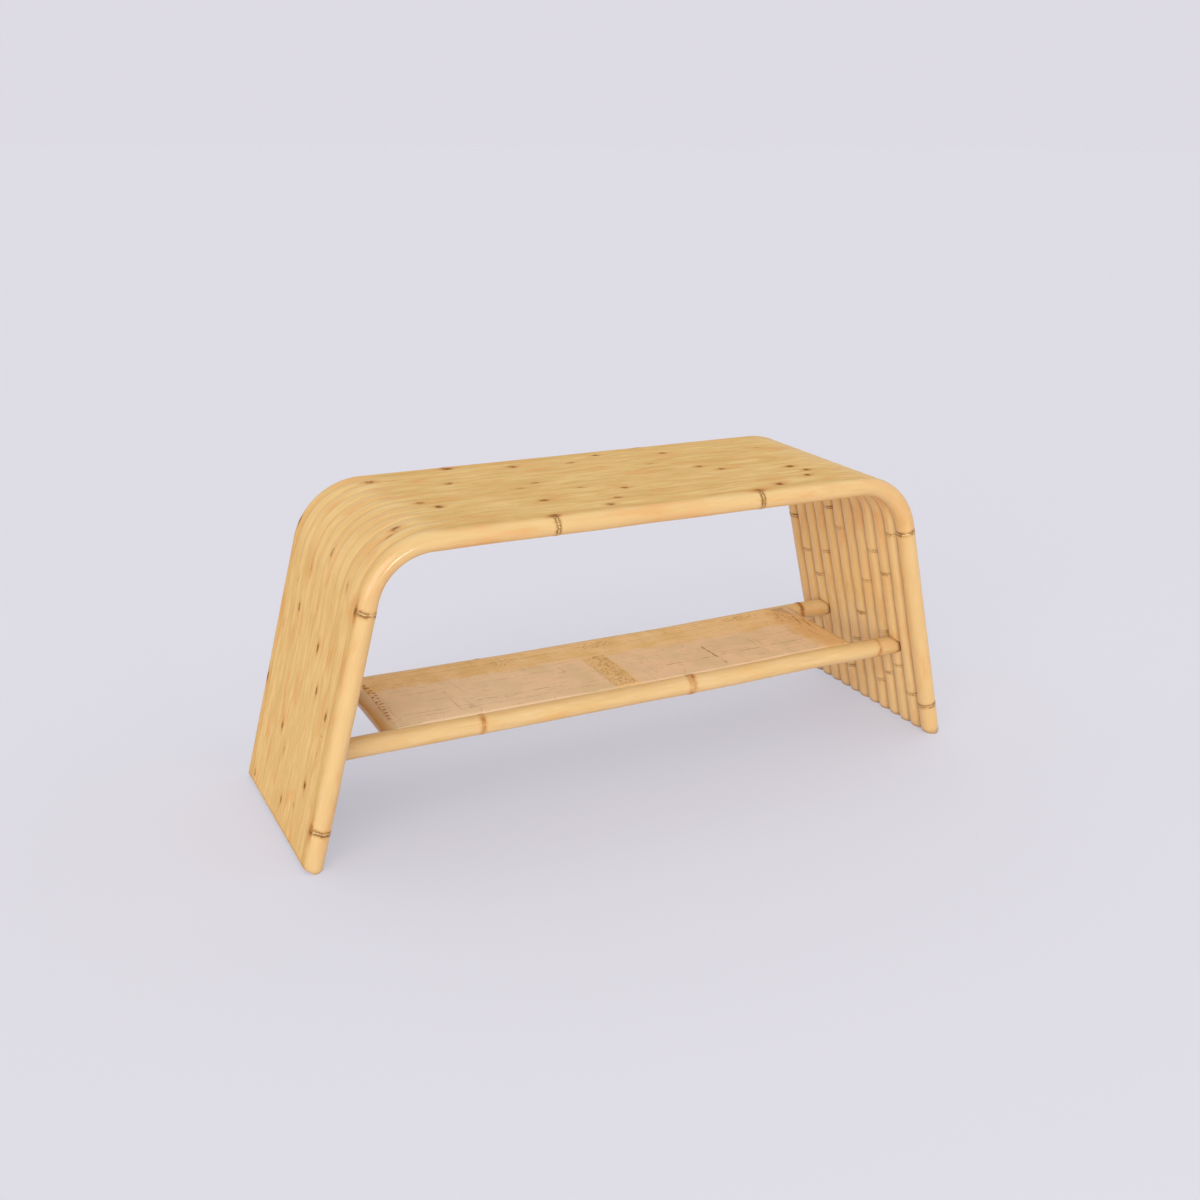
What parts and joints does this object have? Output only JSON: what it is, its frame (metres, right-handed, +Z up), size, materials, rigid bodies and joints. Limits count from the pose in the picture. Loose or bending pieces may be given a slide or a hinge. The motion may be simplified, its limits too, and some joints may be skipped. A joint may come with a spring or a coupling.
{
  "type": "entryway bench",
  "caption": "Low entryway bench of bent rattan poles laid side by side, with splayed waterfall legs and a woven shelf for shoes near the floor.",
  "frame": {"origin": "on the floor under the middle of the bench", "axes": "+X along the bench's length, -Y towards the front, +Z up"},
  "size_m": [1.0716, 0.334, 0.45],
  "materials": {
    "rattan_pole": "satin clear-lacquered honey rattan",
    "rattan_rail": "satin clear-lacquered honey rattan",
    "weave_panel": "matt woven rattan peel",
    "weave_band": "matt woven rattan core",
    "board": "matt plywood",
    "dowel_wood": "matt hardwood",
    "steel": "zinc plated"
  },
  "bodies": {
    "root": {"seat_pole_01": "rattan_pole", "seat_pole_02": "rattan_pole", "seat_pole_03": "rattan_pole", "seat_pole_04": "rattan_pole", "seat_pole_05": "rattan_pole", "seat_pole_06": "rattan_pole", "seat_pole_07": "rattan_pole", "seat_pole_08": "rattan_pole", "seat_pole_09": "rattan_pole", "seat_pole_10": "rattan_pole", "seat_pole_11": "rattan_pole", "seat_pole_12": "rattan_pole", "shelf_front_rail": "rattan_rail", "shelf_back_rail": "rattan_rail", "shelf_left_rail": "rattan_rail", "shelf_right_rail": "rattan_rail", "shelf_board": "board", "shelf_batten": "board", "batten_screws": "steel", "weave_left": "weave_panel", "weave_right": "weave_panel", "weave_centre_band": "weave_band", "weave_front_border": "weave_band", "weave_back_border": "weave_band", "weave_left_border": "weave_band", "weave_right_border": "weave_band", "seat_rods": "dowel_wood", "left_leg_rods": "dowel_wood", "right_leg_rods": "dowel_wood", "leg_dowels": "dowel_wood", "end_rail_dowels": "dowel_wood"}
  },
  "joints": []
}
